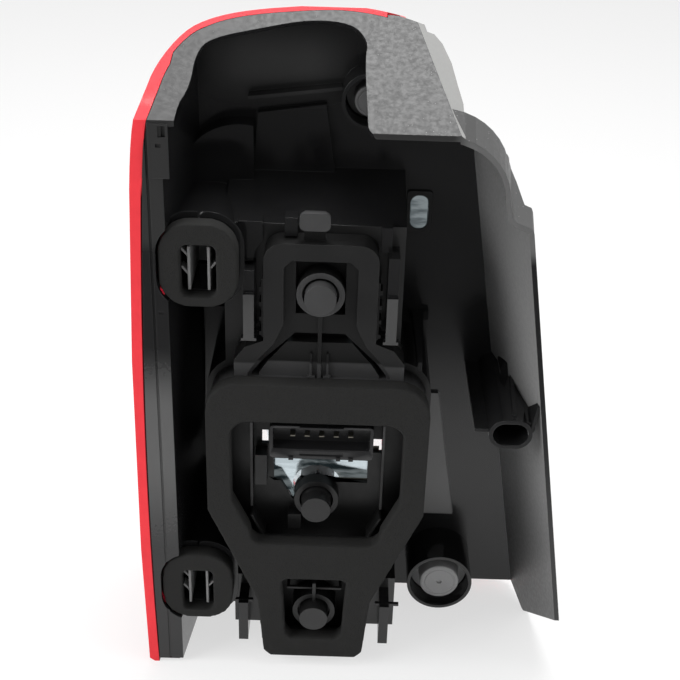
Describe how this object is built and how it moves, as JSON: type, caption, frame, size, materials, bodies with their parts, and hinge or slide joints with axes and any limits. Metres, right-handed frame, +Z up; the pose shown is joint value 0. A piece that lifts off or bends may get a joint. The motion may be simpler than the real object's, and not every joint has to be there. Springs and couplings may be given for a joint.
{
  "type": "tail light cluster",
  "caption": "Car rear lamp cluster with a red lens, black moulded housing, push-in bulb holder, foam body seal and clip sockets.",
  "frame": {"origin": "middle of the body seal's crossbar, on the seal's rear face, on the line of the bulbs", "axes": "+X inboard (right as seen from behind), +Y forward into the lens, +Z up; the lamp stands on its lower edge"},
  "size_m": [0.2417, 0.1254, 0.3771],
  "materials": {
    "housing_plastic": "black moulded plastic, glossy inside, satin on the roof",
    "red_lens": "clear red polished plastic",
    "clear_lens": "clear polished plastic",
    "reflector_mirror": "metallised plastic",
    "holder_plastic": "dark grey moulded plastic",
    "seal_foam": "black closed-cell foam",
    "clip_plastic": "black moulded plastic, satin",
    "vent_plastic": "grey moulded plastic",
    "connector_plastic": "black glossy plastic",
    "contact_metal": "tinned brass strip",
    "bulb_metal": "plain brass",
    "bulb_glass": "clear glass",
    "amber_glass": "amber glass"
  },
  "bodies": {
    "root": {"housing": "housing_plastic", "outer_lens": "red_lens", "clear_lens": "clear_lens", "reflector": "reflector_mirror", "bulb_holder": "holder_plastic", "holder_gasket": "seal_foam", "upper_clip_pad": "seal_foam", "lower_clip_pad": "seal_foam", "upper_clip_insert": "clip_plastic", "lower_clip_insert": "clip_plastic", "upper_vent_cap": "vent_plastic", "lower_vent_cap": "vent_plastic", "connector_socket": "connector_plastic", "connector_pins": "contact_metal", "stop_bulb_glass": "bulb_glass", "stop_bulb_cap": "bulb_metal", "indicator_bulb_glass": "amber_glass", "indicator_bulb_cap": "bulb_metal", "fog_bulb_glass": "bulb_glass", "fog_bulb_cap": "bulb_metal", "earth_strip": "contact_metal", "stop_strip": "contact_metal", "indicator_strip": "contact_metal", "fog_strip": "contact_metal"}
  },
  "joints": []
}
